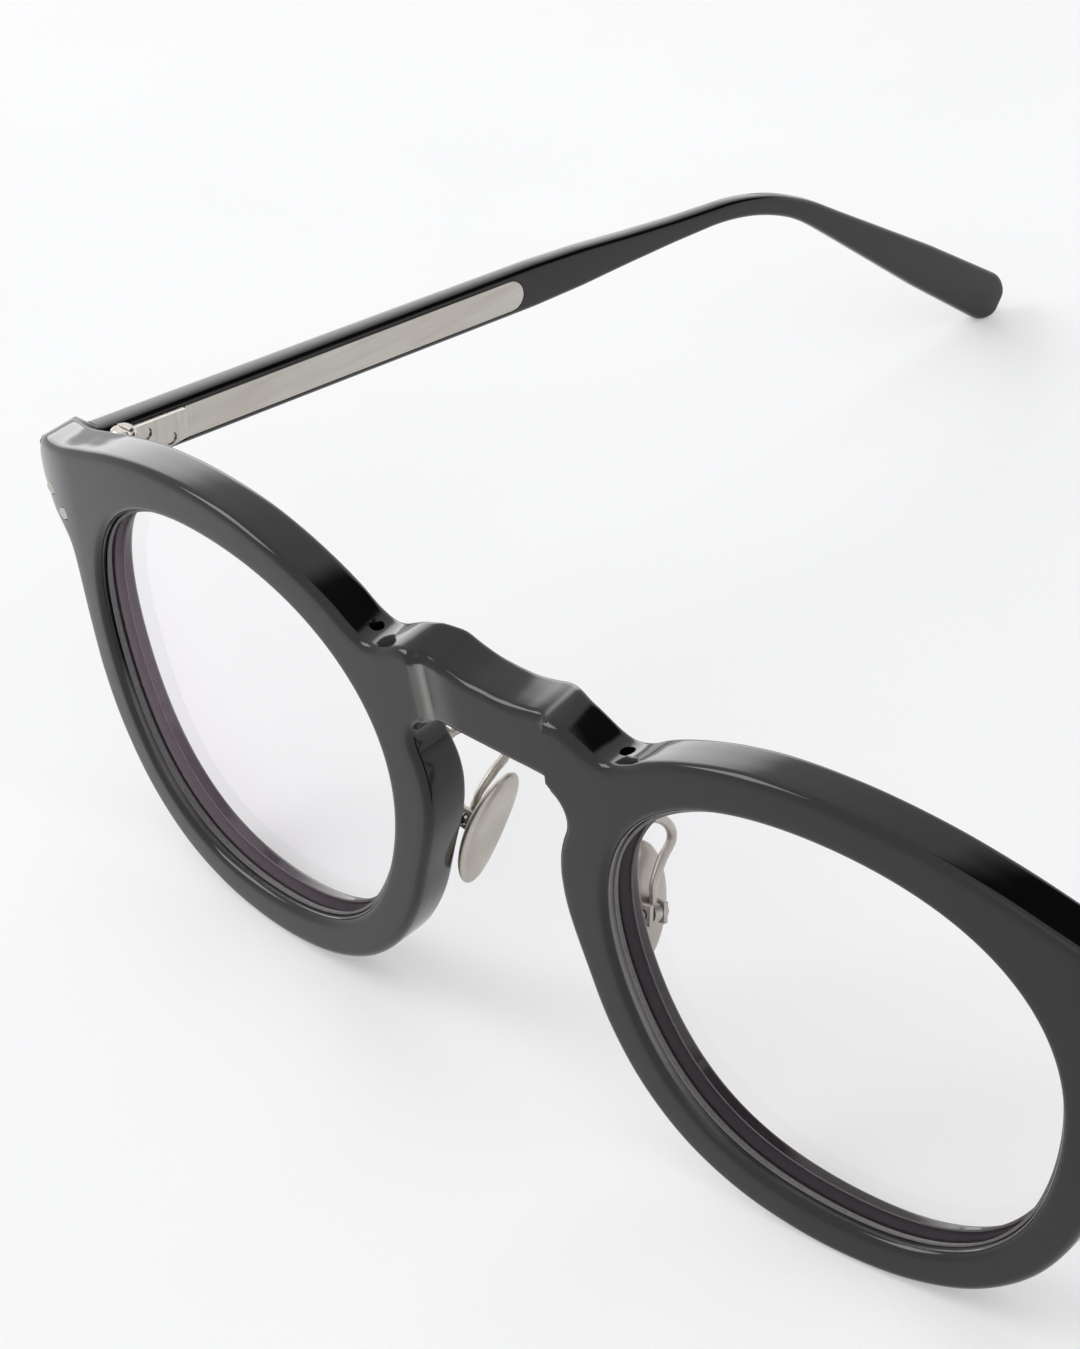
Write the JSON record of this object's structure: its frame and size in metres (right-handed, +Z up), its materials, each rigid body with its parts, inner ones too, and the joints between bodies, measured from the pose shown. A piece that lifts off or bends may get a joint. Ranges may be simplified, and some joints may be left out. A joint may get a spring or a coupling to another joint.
{
  "type": "round eyeglasses",
  "caption": "Round black acetate eyeglasses with clear lenses, adjustable metal nose pads, riveted barrel hinges and temples that fold behind the front.",
  "frame": {"origin": "middle of the bounding box at table level, with the rims and both temple tips resting on Z = 0", "axes": "+X to the wearer's left, +Y back towards the ears, +Z up; the front faces -Y and leans back slightly"},
  "size_m": [0.1346, 0.1494, 0.0495],
  "materials": {
    "acetate": "polished black acetate",
    "lens": "clear, with a faint purple anti-reflection tint",
    "plate": "brushed along its length",
    "titanium": "matte warm grey titanium",
    "steel": "satin"
  },
  "bodies": {
    "front": {"front_frame": "acetate", "front_rivet_left_1": "steel", "front_rivet_left_2": "steel", "front_rivet_right_1": "steel", "front_rivet_right_2": "steel", "hinge_front_leaf_left": "steel", "hinge_front_leaf_right": "steel", "hinge_screw_left": "steel", "hinge_screw_right": "steel", "lens_left": "lens", "lens_right": "lens", "pad_arm_left": "titanium", "pad_arm_right": "titanium", "pad_screw_left": "steel", "pad_screw_right": "steel"},
    "temple_left_arm": {"hinge_temple_leaf_left": "steel", "temple_left": "acetate", "temple_plate_left": "plate", "temple_rivet_left_1": "steel", "temple_rivet_left_2": "steel"},
    "temple_right_arm": {"hinge_temple_leaf_right": "steel", "temple_plate_right": "plate", "temple_right": "acetate", "temple_rivet_right_1": "steel", "temple_rivet_right_2": "steel"},
    "pad_left": {"nose_pad_left": "titanium"},
    "pad_right": {"nose_pad_right": "titanium"}
  },
  "joints": [
    {"name": "temple_left_fold", "type": "hinge", "parent": "front", "child": "temple_left_arm", "pos_m": [0.0616, -0.06004, 0.03778], "axis": [0, -0.0705, 0.9975], "range_deg": [0, 87]},
    {"name": "temple_right_fold", "type": "hinge", "parent": "front", "child": "temple_right_arm", "pos_m": [-0.0616, -0.06004, 0.03778], "axis": [0, 0.0705, -0.9975], "range_deg": [0, 83]},
    {"name": "pad_left_rock", "type": "hinge", "parent": "front", "child": "pad_left", "pos_m": [0.01098, -0.0654, 0.02173], "axis": [0.1405, 0.951, -0.2753], "range_deg": [-8, 8]},
    {"name": "pad_right_rock", "type": "hinge", "parent": "front", "child": "pad_right", "pos_m": [-0.01098, -0.0654, 0.02173], "axis": [0.1405, -0.951, 0.2753], "range_deg": [-8, 8]}
  ]
}
